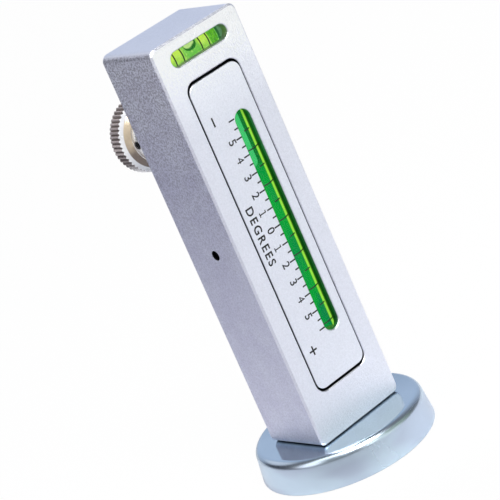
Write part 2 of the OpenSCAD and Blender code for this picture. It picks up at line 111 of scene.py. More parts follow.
# A figure 4 drawn bolder would close its hole
THIN_DIGIT = 4
ONE_X = DIGIT_X - 0.1 * MM
ONE_HEIGHT = 1.95 * MM
ONE_WIDTH = 0.26 * MM
ONE_FOOT = 1.0 * MM
WORD_X = -5.45 * MM
WORD_MIDDLE_Z = 57.85 * MM
WORD_SIZE = 2.1 * MM * 1.38
WORD_SPREAD = 1.3
WORD_BOLD = 0.06 * MM
SIGN_X = -4.75 * MM
MINUS_Z = 85.4 * MM
PLUS_Z = 28.6 * MM
SIGN_SIZE = 2.2 * MM
SIGN_WIDTH = 0.42 * MM

RING_STEP = 8.72 * MM
FIRST_RING_Z = 31.6 * MM
RING_COUNT = 6
RING_WIDTH = 0.3 * MM
RING_STEPS = 28
RING_TURN = math.radians(11)
LONG_RING_SPAN = math.radians(100)
SHORT_RING_SPAN = math.radians(31)
CROSS_RINGS_X = [-5.84 * MM, -3.59 * MM, 1.96 * MM, 4.11 * MM]
CROSS_RING_SPAN = math.radians(250)


# ---------------------------------------------------------------- meshes

def add_object(name, data):
    """An object in the scene that holds that mesh, text, lamp or lens."""
    made = bpy.data.objects.new(name, data)
    bpy.context.scene.collection.objects.link(made)
    return made


def make_piece(name, vertices, faces, body, slot, material, smooth=True):
    """A mesh object made of those vertices and faces, riding on a body."""
    mesh = bpy.data.meshes.new(name)
    mesh.from_pydata(vertices, [], faces)
    mesh.validate()
    mesh.update()
    piece = add_object(name, mesh)
    if smooth:
        mesh.shade_smooth()
    else:
        mesh.shade_flat()
    mesh.materials.append(material)
    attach(piece, body)
    return piece


def lathe(profile, steps, place):
    """Vertices and faces of a closed solid turned about an axis, for a profile of (radius, along)
    points whose first and last radius are 0. place turns (radius, angle, along) into a point."""
    inner = profile[1:-1]
    vertices = [place(0, 0, profile[0][1])]
    for radius, along in inner:
        vertices += [place(radius, 2 * math.pi * i / steps, along) for i in range(steps)]
    vertices.append(place(0, 0, profile[-1][1]))
    last = len(vertices) - 1
    end = last - steps
    faces = []
    for i in range(steps):
        j = (i + 1) % steps
        faces.append((0, 1 + j, 1 + i))
        for a in range(1, end, steps):
            faces.append((a + i, a + j, a + steps + j, a + steps + i))
        faces.append((end + i, end + j, last))
    return vertices, faces


def lathe_ring(loop, steps, place):
    """Vertices and faces of a closed solid with a hole along its axis, turned from a loop of
    (radius, along) points that runs outward along the bottom and upward outside."""
    count = len(loop)
    vertices = []
    for i in range(steps):
        angle = 2 * math.pi * i / steps
        vertices += [place(radius, angle, along) for radius, along in loop]
    faces = []
    for i in range(steps):
        a, b = count * i, count * ((i + 1) % steps)
        for k in range(count):
            j = (k + 1) % count
            faces.append((a + k, b + k, b + j, a + j))
    return vertices, faces


def arc(centre, radius, first, last, steps):
    """Points (radius, along) on an arc between two angles in degrees, which start at the
    outward direction and turn upward."""
    turns = [math.radians(first + (last - first) * i / steps) for i in range(steps + 1)]
    return [(centre[0] + radius * math.cos(t), centre[1] + radius * math.sin(t)) for t in turns]


def about_z(x, y):
    """Places a turned point about the vertical line at x, y."""
    return lambda radius, angle, along: (
        x + radius * math.sin(angle), y - radius * math.cos(angle), along
    )


def about_x(y, z):
    """Places a turned point about the line along X at y, z."""
    return lambda radius, angle, along: (
        along, y - radius * math.cos(angle), z + radius * math.sin(angle)
    )


def box_faces(start):
    """Faces of a six-sided block whose eight corners start at that index, the lower four first."""
    corners = [(0, 3, 2, 1), (4, 5, 6, 7), (0, 1, 5, 4), (1, 2, 6, 5), (2, 3, 7, 6), (3, 0, 4, 7)]
    return [tuple(start + k for k in face) for face in corners]


def print_bars(name, bars):
    """A piece of flat bars printed on the face, each (low x, high x, low z, high z)."""
    vertices, faces = [], []
    for x0, x1, z0, z1 in bars:
        faces += box_faces(len(vertices))
        for y in (FACE_Y + INK_DOWN, FACE_Y - INK_UP):
            vertices += [(x0, y, z0), (x0, y, z1), (x1, y, z1), (x1, y, z0)]
    return make_piece(name, vertices, faces, "block", "scale_aluminium", INK, smooth=False)


def ink_arcs(arcs, place, radius):
    """Vertices and faces of bars printed round a vial, each (middle along, first and last angle)."""
    vertices, faces = [], []
    for middle, first, last in arcs:
        start = len(vertices)
        for i in range(RING_STEPS + 1):
            angle = first + (last - first) * i / RING_STEPS
            for r, side in ((-INK_DOWN, -1), (INK_UP, -1), (INK_UP, 1), (-INK_DOWN, 1)):
                vertices.append(place(radius + r, angle, middle + side * RING_WIDTH / 2))
        for i in range(RING_STEPS):
            a, b = start + 4 * i, start + 4 * (i + 1)
            for k in range(4):
                faces.append((a + k, a + (k + 1) % 4, b + (k + 1) % 4, b + k))
        faces.append((start + 3, start + 2, start + 1, start))
        end = start + 4 * RING_STEPS
        faces.append((end, end + 1, end + 2, end + 3))
    return vertices, faces


def figure_one(x, z):
    """Bars for a figure 1 with its middle there: its foot, its stem and its flag."""
    foot, top = x - ONE_HEIGHT / 2, x + ONE_HEIGHT / 2
    stem = ONE_WIDTH / 2
    return [
        (foot, foot + ONE_WIDTH, z - ONE_FOOT / 2, z + ONE_FOOT / 2),
        (foot + ONE_WIDTH, top, z - stem, z + stem),
        (top - ONE_WIDTH, top, z + stem, z + ONE_FOOT / 2),
    ]


def print_text(name, text, size, middle, spread=1.0, bold=0.0):
    """Text printed on the face, read from its right side, with its middle at (x, z)."""
    curve = bpy.data.curves.new(name, "FONT")
    curve.body = text
    curve.size = size
    curve.space_character = spread
    curve.offset = bold
    curve.align_x = "CENTER"
    curve.align_y = "CENTER"
    curve.extrude = INK_UP
    curve.resolution_u = LETTER_STEPS
    lettering = add_object(name + "_curve", curve)
    # The line of text runs down the bar, and the tops of the letters point to the vial
    lettering.matrix_world = Matrix((
        (0, 1, 0, middle[0]),
        (0, 0, -1, FACE_Y),
        (-1, 0, 0, middle[1]),
        (0, 0, 0, 1),
    ))
    bpy.context.view_layer.update()
    mesh = bpy.data.meshes.new_from_object(lettering.evaluated_get(bpy.context.evaluated_depsgraph_get()))
    mesh.transform(lettering.matrix_world)
    bpy.data.objects.remove(lettering)
    solid = bmesh.new()
    solid.from_mesh(mesh)
    bmesh.ops.remove_doubles(solid, verts=solid.verts, dist=WELD)
    solid.to_mesh(mesh)
    solid.free()
    mesh.name = name
    piece = add_object(name, mesh)
    mesh.materials.clear()
    mesh.materials.append(INK)
    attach(piece, "block")


# ---------------------------------------------------------------- node helpers

BLACK = (0.0, 0.0, 0.0)


class Nodes:
    """Short calls for the nodes of a material or of the world."""

    def __init__(self, tree):
        self.tree = tree

    def node(self, kind, **settings):
        """A new node of that kind, with those settings."""
        made = self.tree.nodes.new(kind)
        for name, value in settings.items():
            setattr(made, name, value)
        return made

    def link(self, source, target):
        """Joins two sockets, or sets the target where source is a plain value."""
        if isinstance(source, bpy.types.NodeSocket):
            self.tree.links.new(source, target)
        else:
            target.default_value = source

    def math(self, operation, a, b=0.0, clamp=False):
        """One step of arithmetic, held to 0..1 where clamp is set."""
        made = self.node("ShaderNodeMath", operation=operation, use_clamp=clamp)
        self.link(a, made.inputs[0])
        self.link(b, made.inputs[1])
        return made.outputs[0]

    def product(self, first, *others):
        """The product of shares, which is 1 only where all of them are."""
        for other in others:
            first = self.math("MULTIPLY", first, other)
        return first

    def highest(self, first, *others):
        """The highest of several shares."""
        for other in others:
            first = self.math("MAXIMUM", first, other)
        return first

    def dot(self, vector, direction):
        """How far a vector reaches along a direction."""
        made = self.node("ShaderNodeVectorMath", operation="DOT_PRODUCT")
        self.link(vector, made.inputs[0])
        made.inputs[1].default_value = direction
        return made.outputs["Value"]

    def span(self, value, low, high, to_low=0.0, to_high=1.0, smooth=False):
        """value from low..high carried to to_low..to_high, and held at those ends."""
        made = self.node("ShaderNodeMapRange")
        if smooth:
            made.interpolation_type = "SMOOTHSTEP"
        for i, number in enumerate((value, low, high, to_low, to_high)):
            self.link(number, made.inputs[i])
        return made.outputs[0]

    def fade(self, value, low, high, smooth=False):
        """1 below low and 0 above high."""
        return self.span(value, low, high, 1.0, 0.0, smooth)

    def within(self, value, middle, half, soft):
        """1 where value lies within half of the middle and 0 beyond, with an edge that soft."""
        away = self.math("ABSOLUTE", self.math("SUBTRACT", value, middle))
        return self.fade(away, half - soft, half)

    def mix(self, share, a, b, kind="MIX"):
        """Colour a where share is 0 and b where it is 1."""
        made = self.node("ShaderNodeMix", data_type="RGBA", blend_type=kind)
        self.link(share, made.inputs["Factor"])
        for value, socket in ((a, made.inputs[6]), (b, made.inputs[7])):
            self.link((*value, 1) if isinstance(value, tuple) else value, socket)
        return made.outputs[2]

    def blend_shaders(self, share, a, b):
        """Shader a where share is 0 and b where it is 1."""
        made = self.node("ShaderNodeMixShader")
        self.link(share, made.inputs[0])
        self.link(a, made.inputs[1])
        self.link(b, made.inputs[2])
        return made.outputs[0]


class Finish(Nodes):
    """A material whose look is built from nodes around its main shader."""

    def __init__(self, name, **sockets):
        self.material = bpy.data.materials.new(name)
        self.material.use_nodes = True
        super().__init__(self.material.node_tree)
        self.shader = self.tree.nodes["Principled BSDF"]
        coordinates = self.node("ShaderNodeTexCoord")
        self.place = coordinates.outputs["Object"]
        self.normal = coordinates.outputs["Normal"]
        self.set(**sockets)

    def set(self, **sockets):
        """Sets sockets of the main shader, with _ for the spaces in their names."""
        for name, value in sockets.items():
            self.link(value, self.shader.inputs[name.replace("_", " ").title()])

    def glow(self, colour, dark):
        """Lets the surface give off a colour, and dims by the share dark how it takes light."""
        self.set(base_color=self.mix(dark, colour, BLACK), emission_color=colour)

    def clear(self, tint):
        """A shader that lets one look through, with a tint."""
        made = self.node("ShaderNodeBsdfTransparent")
        made.inputs["Color"].default_value = (*tint, 1)
        return made.outputs[0]

    def axis(self, name):
        """One coordinate of the object."""
        split = self.node("ShaderNodeSeparateXYZ")
        self.link(self.place, split.inputs[0])
        return split.outputs[name]

    def depth(self):
        """How far a point lies behind the face."""
        return self.math("SUBTRACT", self.axis("Y"), FACE_Y)

    def stretched(self, x, y, z):
        """The object's coordinates, scaled along each axis."""
        made = self.node("ShaderNodeMapping")
        self.link(self.place, made.inputs["Vector"])
        made.inputs["Scale"].default_value = (x, y, z)
        return made.outputs[0]

    def noise(self, size, detail=2.0, rough=0.5, where=None):
        """Noise between 0 and 1 with features of about that size in metres."""
        made = self.node("ShaderNodeTexNoise")
        self.link(where or self.place, made.inputs["Vector"])
        made.inputs["Scale"].default_value = 1 / size
        made.inputs["Detail"].default_value = detail
        made.inputs["Roughness"].default_value = rough
        return made.outputs["Fac"]

    def mottle(self, noise, low=0.0, high=1.0):
        """low..high, as a noise goes through the middle part of its range."""
        return self.span(noise, 0.3, 0.7, low, high)

    def bump(self, height, depth):
        """A normal for a height between 0 and 1 that stands for that depth in metres."""
        made = self.node("ShaderNodeBump")
        made.inputs["Distance"].default_value = depth
        self.link(height, made.inputs["Height"])
        return made.outputs[0]

    def radius(self, first, second, middle):
        """Distance from a line along the third axis, through that point of the first two."""
        squares = []
        for name, place in zip((first, second), middle):
            across = self.math("SUBTRACT", self.axis(name), place)
            squares.append(self.product(across, across))
        return self.math("SQRT", self.math("ADD", *squares))

    def toward(self, direction):
        """How far the surface faces that direction of the object's frame, from -1 to 1."""
        return self.dot(self.normal, Vector(direction).normalized())

    def facing(self):
        """0 where the surface faces the viewer and 1 where it turns away."""
        made = self.node("ShaderNodeLayerWeight")
        made.inputs["Blend"].default_value = 0.5
        return made.outputs["Facing"]

    def output(self, shader):
        """Gives the surface that shader in place of the main one."""
        self.link(shader, self.tree.nodes["Material Output"].inputs["Surface"])


def dimmed(colour, share):
    """A colour at that share of its brightness."""
    return tuple(share * c for c in colour)


# ---------------------------------------------------------------- aluminium

ALUMINIUM = (0.85, 0.865, 0.95)
BLOCK_ALUMINIUM = (0.86, 0.88, 0.96)
# Speckle on the left side: partly grain, partly painted shade toward its top
LEFT_SPECKLE_AND_SHADE = (0.50, 0.48, 0.51)
LEFT_BLOTCH = (0.93, 0.92, 0.95)
# Painted shade on the left side toward its foot
LEFT_FOOT_SHADE = (0.80, 0.80, 0.86)
# Painted highlight on the top of the front
FRONT_PAINTED_HIGHLIGHT = (1.23, 1.22, 1.18)
# Painted shade on the front's upper edge
EDGE_PAINTED_SHADE = (0.2, 0.2, 0.22)
# Painted shade in the gap round the block, in the pivot's hole, along the bar's foot and down the block's
# sides
GAP_PAINTED_SHADE = (0.012, 0.012, 0.018)
# Painted shade on the walls behind the cross window
WINDOW_PAINTED_SHADE = (0.40, 0.45, 0.42)
# Painted green reflection of the vial on the wall of the vial's window
WALL_PAINTED_REFLECTION = (0.16, 0.36, 0.24)
# Painted shade, green from the vial's reflection, deep in the vial's bore
BORE_PAINTED_SHADE = (0.05, 0.24, 0.06)

GRAIN = 0.24 * MM
FLECK = 0.55 * MM
SPECKLE = 0.42 * MM
BLOTCH = 5 * MM
CLOUD = 17 * MM
GRAIN_DEPTH = 0.08 * MM
# Heights between which the left side's speckle, partly grain and partly painted shade, coarsens, its
# painted shade toward the foot fades out, and the front's painted highlight comes in
COARSE_Z = (50 * MM, 98 * MM)
SHADE_Z = (76 * MM, 98 * MM)
FRONT_HIGHLIGHT_Z = (84 * MM, 102 * MM)


def blasted_aluminium(name, colour):
    """Bead blasted and anodised: a fine even grain, a slightly uneven sheen and small dull flecks.
    Near the top of the left side a coarser speckle stands out, partly grain and partly painted shade, and
    painted shade darkens that side toward its foot. Painted shade dulls the front's upper edge, and a
    painted highlight brightens the top of the front."""
    finish = Finish(name, metallic=1.0)
    z = finish.axis("Z")
    grain = finish.math("ADD", finish.noise(GRAIN, 2.0, 0.6), finish.noise(FLECK, 2.0, 0.6))
    base = finish.mix(finish.span(grain, 0.75, 1.25, 0.0, 0.15), colour, dimmed(colour, 0.5))
    left = finish.span(finish.toward((-1, 0, 0)), 0.6, 0.9)
    # Speckle on the left side, partly grain and partly painted shade, stronger toward the top
    speckle = finish.product(left, finish.span(z, *COARSE_Z, 0.25, 1.0),
                             finish.span(finish.noise(SPECKLE, 1.0), 0.38, 0.66))
    blotch = finish.product(left, finish.span(finish.noise(BLOTCH), 0.35, 0.65))
    # Painted shade on the left side toward its foot
    low = finish.product(left, finish.fade(z, *SHADE_Z))
    for share, shade in ((speckle, LEFT_SPECKLE_AND_SHADE), (blotch, LEFT_BLOTCH), (low, LEFT_FOOT_SHADE)):
        base = finish.mix(share, base, shade, "MULTIPLY")
    # Painted shade dulls the front's upper edge, and a painted highlight makes the top of the front
    # brightest
    front_edge_shade = finish.span(finish.toward((0, -1, 1)), 0.93, 0.99, 0.0, 0.5)
    base = finish.mix(front_edge_shade, base, EDGE_PAINTED_SHADE)
    # Painted highlight: the top of the front is made brighter
    front = finish.product(finish.span(finish.toward((0, -1, 0)), 0.8, 0.95), finish.span(z, *FRONT_HIGHLIGHT_Z))
    finish.base = finish.mix(front, base, FRONT_PAINTED_HIGHLIGHT, "MULTIPLY")
    finish.set(base_color=finish.base, normal=finish.bump(grain, GRAIN_DEPTH),
               roughness=finish.mottle(finish.noise(CLOUD, 3.0), 0.42, 0.48))
    return finish


# Depths behind the face between which each part of painted shade or painted green reflection on the bar
# and the block begins, and between which it ends
POCKET_STARTS = (0.16 * MM, 0.4 * MM)
POCKET_ENDS = (14 * MM, 15 * MM)
WINDOW_STARTS = (0.08 * MM, 0.35 * MM)
WINDOW_ENDS = (8 * MM, 9 * MM)
SIDES_START = (0.08 * MM, 0.4 * MM)
WALL_STARTS = (0.12 * MM, 0.3 * MM)
BORE_STARTS = (0.8 * MM, 1.1 * MM)

POCKET_SPARE = 0.1 * MM
POCKET_SOFT = 0.05 * MM
CROSS_WINDOW_Z = CROSS_Z + 0.9 * MM
CROSS_WINDOW_HALF = (9.4 * MM, 2.9 * MM)
LONG_WINDOW_HALF = (3.2 * MM, HALF_BLOCK_HEIGHT - 5 * MM)
WINDOW_SOFT = 0.1 * MM
PIVOT_HOLE_X = (BAR_LOW.x + 0.02 * MM, BAR_LOW.x + 0.08 * MM)
PIVOT_HOLE_R = (1.5 * MM, 1.6 * MM)
FOOT_Z = (BAR_LOW.z + 0.15 * MM, BAR_LOW.z + 0.5 * MM)


def bar_metal():
    """The bar's finish, with painted shade in the narrow gap round the scale block, in the pivot's hole,
    behind the window and along its foot, where it meets the magnet."""
    finish = blasted_aluminium("satin_aluminium", ALUMINIUM)
    x, z, depth = finish.axis("X"), finish.axis("Z"), finish.depth()
    half_w = HALF_BLOCK_WIDTH + SIDE_GAP
    half_h = HALF_BLOCK_HEIGHT + END_GAP
    pocket = finish.product(
        finish.within(x, 0, half_w + POCKET_SPARE, POCKET_SOFT),
        finish.within(z, SCALE_MID_Z, half_h + POCKET_SPARE, POCKET_SOFT),
        # The right wall of the gap faces the light and gets less painted shade, so it stays greyer
        finish.span(x, half_w - SIDE_GAP, half_w, 1.0, 0.4),
        finish.span(depth, *POCKET_STARTS), finish.fade(depth, *POCKET_ENDS),
    )
    window = finish.product(
        finish.within(x, 0, CROSS_WINDOW_HALF[0], WINDOW_SOFT),
        finish.within(z, CROSS_WINDOW_Z, CROSS_WINDOW_HALF[1], WINDOW_SOFT),
        finish.span(depth, *WINDOW_STARTS), finish.fade(depth, *WINDOW_ENDS),
    )
    hole = finish.product(finish.span(x, *PIVOT_HOLE_X),
                          finish.fade(finish.radius("Y", "Z", (PIVOT_Y, PIVOT_Z)), *PIVOT_HOLE_R))
    foot = finish.span(z, *FOOT_Z, 0.9, 0.0)
    # Painted shade in the gap, in the pivot's hole and along the foot
    base = finish.mix(finish.highest(pocket, hole, foot), finish.base, GAP_PAINTED_SHADE)
    # Painted shade on the walls behind the cross window
    finish.set(base_color=finish.mix(window, base, WINDOW_PAINTED_SHADE))
    return finish.material


def block_metal():
    """The scale block's finish, with painted shade down its sides, a painted green reflection of the vial
    on its window's wall and green painted shade deeper in the bore of its vial.
    """
    finish = blasted_aluminium("scale_aluminium", BLOCK_ALUMINIUM)
    depth = finish.depth()
    window = finish.product(
        finish.within(finish.axis("X"), VIAL_X, LONG_WINDOW_HALF[0], 2 * WINDOW_SOFT),
        finish.within(finish.axis("Z"), SCALE_MID_Z, LONG_WINDOW_HALF[1], 2 * WINDOW_SOFT),
    )
    # Painted shade down the block's sides
    sides = finish.mix(finish.span(depth, *SIDES_START, 0.0, 0.85), finish.base, GAP_PAINTED_SHADE)
    # Painted green reflection on the window's wall, then painted shade deeper in the bore
    wall = finish.mix(finish.span(depth, *WALL_STARTS), finish.base, WALL_PAINTED_REFLECTION)
    bore = finish.mix(finish.span(depth, *BORE_STARTS), wall, BORE_PAINTED_SHADE)
    finish.set(base_color=finish.mix(window, sides, bore))
    return finish.material


# ---------------------------------------------------------------- other metals

SMUDGE = 6 * MM
TOOL_MARK_DEPTH = 0.004 * MM


def turned_metal(name, colour, roughness, mark_size):
    """Bright metal with fine tool marks and a faint uneven sheen."""
    finish = Finish(name, metallic=1.0)
    smudge = finish.noise(SMUDGE, 3.0)
    finish.set(base_color=finish.mix(finish.span(smudge, 0.35, 0.7, 0.0, 0.35), colour,
                                     dimmed(colour, 0.86)))
    finish.set(roughness=finish.span(smudge, 0.3, 0.75, roughness, roughness * 1.5))
    finish.set(normal=finish.bump(finish.noise(mark_size, 2.0, 0.7), TOOL_MARK_DEPTH))
    return finish.material


BOSS_NICKEL = (0.97, 0.97, 0.96)
RING_NICKEL = (0.95, 0.95, 0.95)
END_NICKEL = (0.80, 0.77, 0.72)
CONE_HIGH = (0.82, 0.68, 0.48)
# Brown painted shade low on the cone
CONE_PAINTED_SHADE = (0.22, 0.17, 0.14)
TOOTH = (0.46, 0.40, 0.39)
# Painted highlight on the lowest teeth of the knurl
LOWEST_TOOTH_HIGHLIGHT = (0.97, 0.96, 0.95)
# Painted shade in the knurl's grooves
GROOVE = (0.20, 0.165, 0.155)
KNOB_SMUDGE = 3 * MM
KNOB_MARK = 0.3 * MM
KNOB_MARK_DEPTH = 0.003 * MM
# Heights between which the cone's painted shade and the teeth's painted highlight come in, going down
CONE_SHADE_Z = (SCREW_Z - 3 * MM, SCREW_Z + 3.5 * MM)
TEETH_HIGHLIGHT_Z = (SCREW_Z - 7 * MM, SCREW_Z - 4 * MM)
GROOVE_R = (KNOB_R - 0.36 * MM, KNOB_R - 0.04 * MM)
KNURL_R = (KNOB_R - 0.75 * MM, KNOB_R - 0.65 * MM)
KNURL_END_Y = (KNOB_HIGH.y - 0.3 * MM, KNOB_HIGH.y - 0.1 * MM)
STEP_SOFT = 0.1 * MM


def knob_metal():
    """Nickel plate, bright on the boss and cloudy from the cone outward: white on the ring, beige above
    and darkened by a brown painted shade low on the cone, with painted shade in the knurl's grooves and a
    painted highlight on its lowest teeth."""
    finish = Finish("nickel_plate", metallic=1.0)
    y, z = finish.axis("Y"), finish.axis("Z")
    radius = finish.radius("X", "Z", (0, SCREW_Z))
    smudge = finish.noise(KNOB_SMUDGE, 3.0)
    cone = finish.span(y, CONE_Y, CONE_Y + STEP_SOFT)
    ring = finish.span(y, RING_Y - STEP_SOFT / 2, RING_Y + STEP_SOFT / 2)
    ribs = finish.span(y, RIBS_Y, RIBS_Y + STEP_SOFT)
    # Brown painted shade low on the cone, mottled
    low = finish.math("ADD", finish.fade(z, *CONE_SHADE_Z), finish.mottle(smudge, -0.2, 0.2), clamp=True)
    shade = finish.mix(cone, BOSS_NICKEL, finish.mix(low, CONE_HIGH, CONE_PAINTED_SHADE))
    shade = finish.mix(ring, shade, RING_NICKEL)
    # Painted highlight on the lowest teeth
    pale = finish.fade(z, *TEETH_HIGHLIGHT_Z)
    # Painted shade in the knurl's grooves, weaker on the lowest teeth
    groove = finish.product(finish.fade(radius, *GROOVE_R), finish.span(pale, 0.0, 1.0, 1.0, 0.6))
    ribbed = finish.mix(groove, finish.mix(pale, TOOTH, LOWEST_TOOTH_HIGHLIGHT), GROOVE)
    knurl = finish.product(finish.span(radius, *KNURL_R), finish.fade(y, *KNURL_END_Y))
    ribbed = finish.mix(knurl, END_NICKEL, ribbed)
    cloudy = finish.product(cone, finish.span(ribs, 0.0, 1.0, 0.85, 0.5))
    finish.set(base_color=finish.mix(ribs, shade, ribbed),
               metallic=finish.math("SUBTRACT", 1.0, cloudy),
               roughness=finish.mottle(smudge, 0.16, 0.28),
               normal=finish.bump(finish.noise(KNOB_MARK, 2.0, 0.7), KNOB_MARK_DEPTH))
    return finish.material


ZINC = (0.63, 0.76, 0.86)
ZINC_HAZE = (0.59, 0.71, 0.82)
# Painted shade on the cup's top, toward the right and back
ZINC_PAINTED_SHADE = (0.2, 0.3, 0.4)
# Cloudy plating on the side, in soft bands that are partly painted reflection
ZINC_CLOUD_AND_REFLECTION = (0.52, 0.60, 0.72)
CUP_MARK = 0.22 * MM
CUP_MARK_DEPTH = 0.0012 * MM
CUP_HAZE = 9 * MM
CUP_BAND = 16 * MM
CUP_SIDE_R = (CUP_HIGH.x - 2.2 * MM, CUP_HIGH.x - 0.8 * MM)
# Where the top's painted shade grows toward the right and back, and where the side's painted shade on the
# left ends
CUP_RIGHT = (0.0, 24 * MM)
CUP_SHADE_X = (-8 * MM, 10 * MM)


def plated_cup():
    """Bright zinc on a turned steel cup: bluish, nearly a mirror, with faint turning marks, painted shade
    toward the right and back of its top, a cloudier side with soft bands that are partly painted
    reflection, and painted shade on the left of its side."""
    finish = Finish("zinc_plate", metallic=1.0)
    radius = finish.radius("X", "Y", (0, 0))
    rings = finish.node("ShaderNodeCombineXYZ")
    finish.link(radius, rings.inputs[0])
    finish.link(finish.axis("Z"), rings.inputs[2])
    marks = finish.noise(CUP_MARK, 2.0, 0.6, rings.outputs[0])
    haze = finish.noise(CUP_HAZE, 3.0)
    bands = finish.noise(CUP_BAND, 1.0, 0.4, finish.stretched(0.9, 0.9, 3.0))
    side = finish.span(radius, *CUP_SIDE_R)
    base = finish.mix(finish.mottle(haze), ZINC, ZINC_HAZE)
    right = finish.span(finish.dot(finish.place, (1, 1, 0)), *CUP_RIGHT, 0.0, 0.5)
    # Painted shade on the top, toward the right and back
    base = finish.mix(finish.product(right, finish.math("SUBTRACT", 1.0, side)), base, ZINC_PAINTED_SHADE)
    # Soft bands on the side: partly cloudy plating, partly painted reflection
    cloudy = finish.product(side, finish.span(bands, 0.40, 0.60, 0.15, 1.0, smooth=True))
    base = finish.mix(cloudy, base, ZINC_CLOUD_AND_REFLECTION)
    # Painted shade on the left of the cup's side
    shaded = finish.product(side, finish.span(finish.axis("X"), *CUP_SHADE_X, 0.10, 0.0))
    rough = finish.span(haze, 0.3, 0.75, 0.10, 0.17)
    finish.set(base_color=finish.mix(shaded, base, BLACK),
               roughness=finish.math("ADD", rough, finish.product(side, 0.16)),
               normal=finish.bump(marks, CUP_MARK_DEPTH))
    return finish.material


def plain(name, colour, roughness, metallic=0.0, grain=0.2 * MM, depth=0.01 * MM):
    """A plain finish with a fine grain in its colour and surface."""
    finish = Finish(name, metallic=metallic)
    spots = finish.noise(grain, 3.0, 0.6)
    finish.set(base_color=finish.mix(finish.mottle(spots), colour, dimmed(colour, 0.8)),
               roughness=finish.mottle(spots, roughness, roughness * 1.25),
               normal=finish.bump(spots, depth))
    return finish.material


# ---------------------------------------------------------------- vials

LIQUID_GREEN = (0.0, 0.46, 0.07)
LIQUID_TEAL = (0.0, 0.27, 0.13)
CROSS_GREEN = (0.17, 0.60, 0.15)
# Yellow-green of the painted highlight along the top of the cross vial
CROSS_YELLOW = (0.86, 1.0, 0.20)
# Painted glints in the cross vial
CROSS_SPARK = (0.72, 0.95, 0.35)
# Painted shade along the bottom of the cross vial and behind a plug's end face
CROSS_PAINTED_SHADE = (0.02, 0.13, 0.035)
PLUG_BRIGHT = (0.30, 0.72, 0.14)
PLUG_SPOT = (0.06, 0.36, 0.07)
# The way that each bubble's painted highlight faces
LONG_BUBBLE_SIDE = (-0.45, -0.85, 0.25)
CROSS_BUBBLE_SIDE = (-0.60, -0.60, 0.53)
# Sizes of the streaks, wisps, patches and spots in the vials
GLASS_STREAK = 2 * MM
LIQUID_WISP = 1.5 * MM
LONG_PATCH = 1.6 * MM
CROSS_SWIRL = 1.3 * MM
CROSS_SPARKLE = 0.6 * MM
BUBBLE_WISP = 1.2 * MM
PLUG_MOTTLE = 0.8 * MM
# Heights between which the liquids' colours, painted highlight and painted shade change
LONG_TEAL_Z = (SCALE_MID_Z - 20 * MM, SCALE_MID_Z + 8 * MM)
# Height at which the painted shade at the bubble's end comes in
LONG_TOP_Z = (BUBBLE_LOW.z, BUBBLE_LOW.z + 0.8 * MM)
CROSS_YELLOW_Z = (CROSS_Z - 2.2 * MM, CROSS_Z + 0.2 * MM)
CROSS_DEEP_Z = (CROSS_Z - 3.0 * MM, CROSS_Z - 1.6 * MM)
# The stretch of the cross vial round its bubble that stays green, with little of the painted highlight
CALM_X = (CROSS_BUBBLE_LOW.x + CROSS_BUBBLE_HIGH.x) / 2
CALM_HALF = 2.8 * MM
CALM_SOFT = 0.8 * MM
# How far into a plug its bright end face and the band of painted shade behind that reach
PLUG_FACE = (0.05 * MM, 0.15 * MM)
PLUG_BAND = (0.5 * MM, 0.8 * MM)
# Shares of the vial's radius between which its outer wall begins
OUTER_WALL = (0.88, 0.95)
GLASS_GLOSS = 0.08
GLASS_SHINE = 0.6
GLASS_SHINE_IOR = 1.25


def vial_glass(name, edge_colour, tint, line, full_radius, strip):
    """Clear acrylic whose outer wall gives off painted light in the colour of the dye, where one looks
    along it. line gives the vial's axis, and strip says where the glow starts, is full, fades and ends,
    from 0 where the wall faces the viewer to 1 at its outline."""
    finish = Finish(name, roughness=0.3, emission_strength=0.9)
    # Painted light: the outer wall gives off light of its own
    glow = finish.mix(finish.noise(GLASS_STREAK), edge_colour, dimmed(edge_colour, 0.75))
    finish.glow(glow, 0.5)
    starts, full, fades, ends = strip
    facing = finish.facing()
    outer = finish.span(finish.radius(*line), *(share * full_radius for share in OUTER_WALL))
    edge = finish.product(finish.span(facing, starts, full, 0.0, 0.95, smooth=True),
                          finish.span(facing, fades, ends, 1.0, 0.1, smooth=True), outer)
    wall = finish.blend_shaders(edge, finish.clear(tint), finish.shader.outputs[0])
    gloss = finish.node("ShaderNodeBsdfGlossy")
    gloss.inputs["Roughness"].default_value = GLASS_GLOSS
    shine = finish.node("ShaderNodeFresnel")
    shine.inputs["IOR"].default_value = GLASS_SHINE_IOR
    share = finish.product(shine.outputs[0], GLASS_SHINE, outer)
    finish.output(finish.blend_shaders(share, wall, gloss.outputs[0]))
    return finish.material


def clear_liquid(name, tint):
    """The front of the dyed spirit, which lets one look at the bubble and into the depth and gives off
    painted light of its own.
    """
    finish = Finish(name, roughness=0.3, emission_strength=0.5)
    # Painted light: the liquid's front gives off light of its own
    finish.glow(finish.mix(finish.noise(LIQUID_WISP), tint, dimmed(tint, 0.7)), 0.6)
    clear = finish.clear(tuple(0.5 + 0.5 * c for c in tint))
    finish.output(finish.blend_shaders(0.92, finish.shader.outputs[0], clear))
    return finish.material


def dyed_depth(name, colour):
    """The depth of the dyed spirit behind the bubble. Its dye is fluorescent, and the depth gives off
    painted light in its colour. colour is a function that builds the colour's nodes."""
    finish = Finish(name, roughness=0.5, emission_strength=0.9)
    # Painted light: the depth gives off light of its own
    finish.glow(colour(finish), 0.7)
    return finish.material


